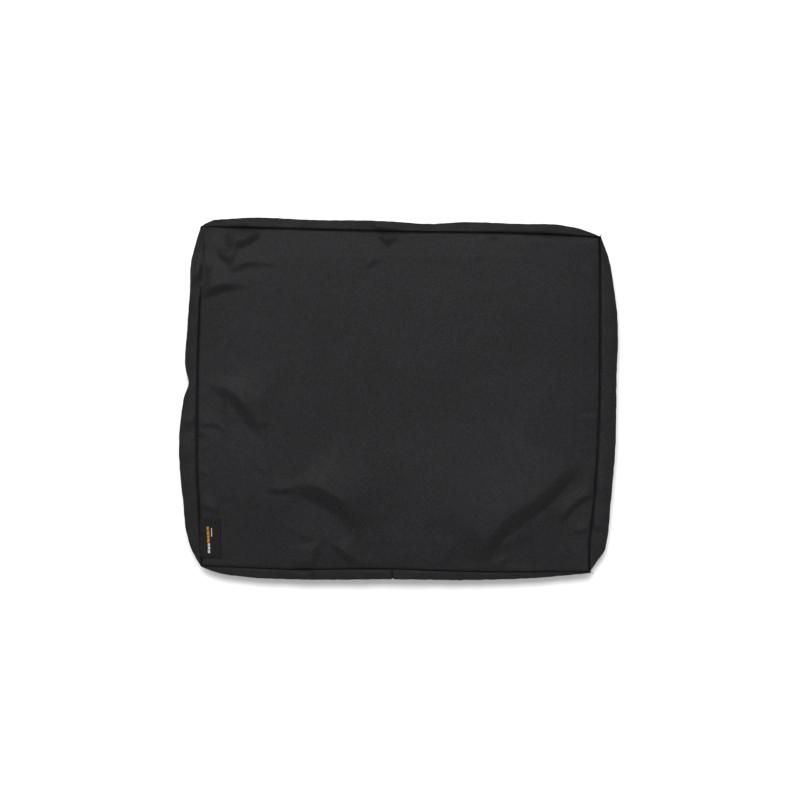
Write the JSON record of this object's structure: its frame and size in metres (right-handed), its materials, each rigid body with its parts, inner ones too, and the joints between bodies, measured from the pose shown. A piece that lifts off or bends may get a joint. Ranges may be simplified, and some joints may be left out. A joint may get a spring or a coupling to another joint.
{
  "type": "back protector",
  "caption": "Rectangular back protector pad: a slack woven cover with folded side gussets and a hidden zip, around a layered foam core with a stiff spreader plate.",
  "frame": {"origin": "middle of the back panel's outer face, on the surface that the pad lies on", "axes": "+X across the back, from the labelled side to the other; +Y up the back, towards the zip; +Z out of the front panel"},
  "size_m": [0.404, 0.333, 0.0226],
  "materials": {
    "cover_cloth": "coated plain weave, satin",
    "binding_tape": "grosgrain",
    "label_weave": "damask weave",
    "comfort_foam": "open cell foam",
    "impact_foam": "closed cell foam",
    "plate_plastic": "moulded, fine grain",
    "zip_tape": "herringbone tape",
    "zip_coil": "polyester monofilament",
    "zip_metal": "black lacquered zinc",
    "pin_steel": "drawn wire",
    "label_mark_pale": "woven yarn",
    "label_mark_amber": "woven yarn",
    "thread": "bonded polyester thread"
  },
  "bodies": {
    "cover": {"front_panel": "cover_cloth", "back_panel": "cover_cloth", "gusset_left": "cover_cloth", "gusset_right": "cover_cloth", "gusset_top": "cover_cloth", "gusset_bottom_left": "cover_cloth", "gusset_bottom_right": "cover_cloth", "front_seam_binding": "binding_tape", "back_seam_binding": "binding_tape", "side_label": "label_weave", "comfort_foam": "comfort_foam", "impact_foam_inner": "impact_foam", "impact_foam_outer": "impact_foam", "spreader_plate": "plate_plastic", "zip_tape_upper": "zip_tape", "zip_tape_lower": "zip_tape", "zip_coil_upper": "zip_coil", "zip_coil_lower": "zip_coil", "zip_top_stops": "zip_metal", "zip_bottom_stop": "zip_metal"},
    "slider": {"zip_slider": "zip_metal", "zip_pull_pin": "pin_steel"},
    "pull": {"zip_pull": "zip_metal"}
  },
  "joints": [
    {"name": "zip_slide", "type": "slide", "parent": "cover", "child": "slider", "axis": [1, 0, 0], "range_m": [0, 0.284]},
    {"name": "pull_swing", "type": "hinge", "parent": "slider", "child": "pull", "pos_m": [-0.142, 0.1603, 0.0049], "axis": [0, 0, 1], "range_deg": [0, 180]}
  ]
}
